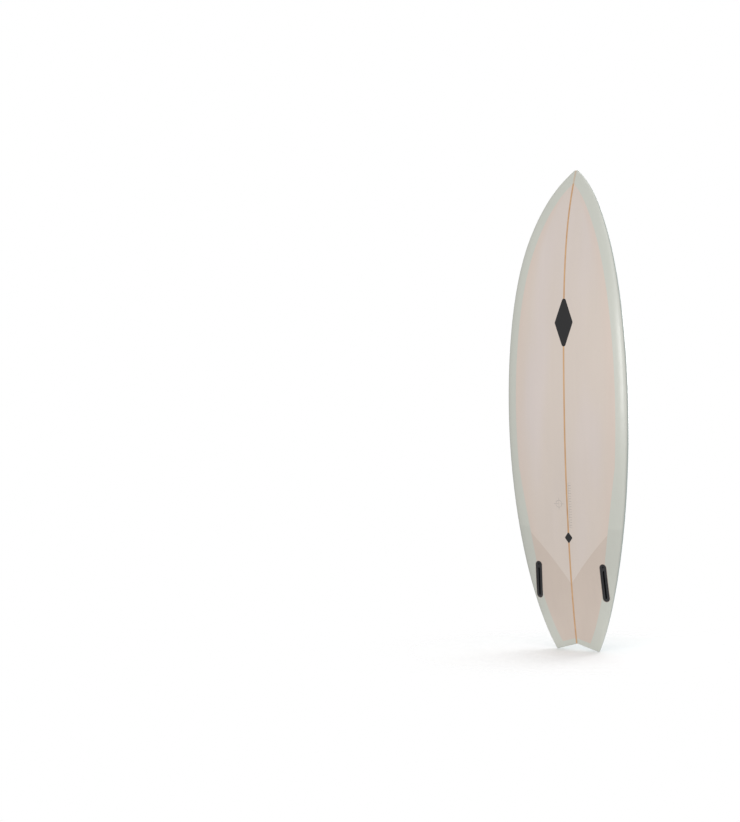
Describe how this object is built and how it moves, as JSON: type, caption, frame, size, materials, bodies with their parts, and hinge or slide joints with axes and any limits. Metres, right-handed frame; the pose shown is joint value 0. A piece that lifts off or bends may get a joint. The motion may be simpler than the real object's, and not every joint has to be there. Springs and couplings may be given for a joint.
{
  "type": "swallow-tail twin-fin surfboard",
  "caption": "Glassed foam surfboard with a pointed nose, swallow tail, wooden stringer, coloured cut laps, slotted fin boxes and a leash plug.",
  "frame": {"origin": "under the middle of the swallow tail, level with its two tips and at half of the board's whole depth", "axes": "+Z from the tail to the nose, -Y out of the bottom, +Y out of the deck, +X to the surfer's left rail"},
  "size_m": [0.5232, 0.11, 1.8276],
  "materials": {
    "foam": "matte",
    "stringer_wood": "satin",
    "deck_glass": "gloss",
    "bottom_glass": "gloss",
    "rail_glass": "gloss",
    "patch_glass": "gloss",
    "mark_ink": "gloss",
    "box_plastic": "satin",
    "bed_resin": "gloss",
    "screw_steel": "satin",
    "pin_steel": "polished"
  },
  "bodies": {
    "root": {"foam_left": "foam", "foam_right": "foam", "stringer": "stringer_wood", "deck_inlay": "deck_glass", "bottom_inlay": "bottom_glass", "tail_patch": "patch_glass", "rail_lap": "rail_glass", "deck_mark": "mark_ink", "bottom_mark": "mark_ink", "tail_mark": "mark_ink", "fin_box_left": "box_plastic", "fin_box_right": "box_plastic", "fin_bed_left": "bed_resin", "fin_bed_right": "bed_resin", "leash_cup": "box_plastic", "leash_pin": "pin_steel", "leash_bed": "bed_resin"},
    "fin_screw_left": {"fin_screw_left": "screw_steel"},
    "fin_screw_right": {"fin_screw_right": "screw_steel"}
  },
  "joints": [
    {"name": "fin_screw_left_travel", "type": "slide", "parent": "root", "child": "fin_screw_left", "axis": [0.0075, -0.8443, 0.5358], "range_m": [-0.0035, 0.0045]},
    {"name": "fin_screw_right_travel", "type": "slide", "parent": "root", "child": "fin_screw_right", "axis": [-0.0075, -0.8443, 0.5358], "range_m": [-0.0035, 0.0045]}
  ]
}
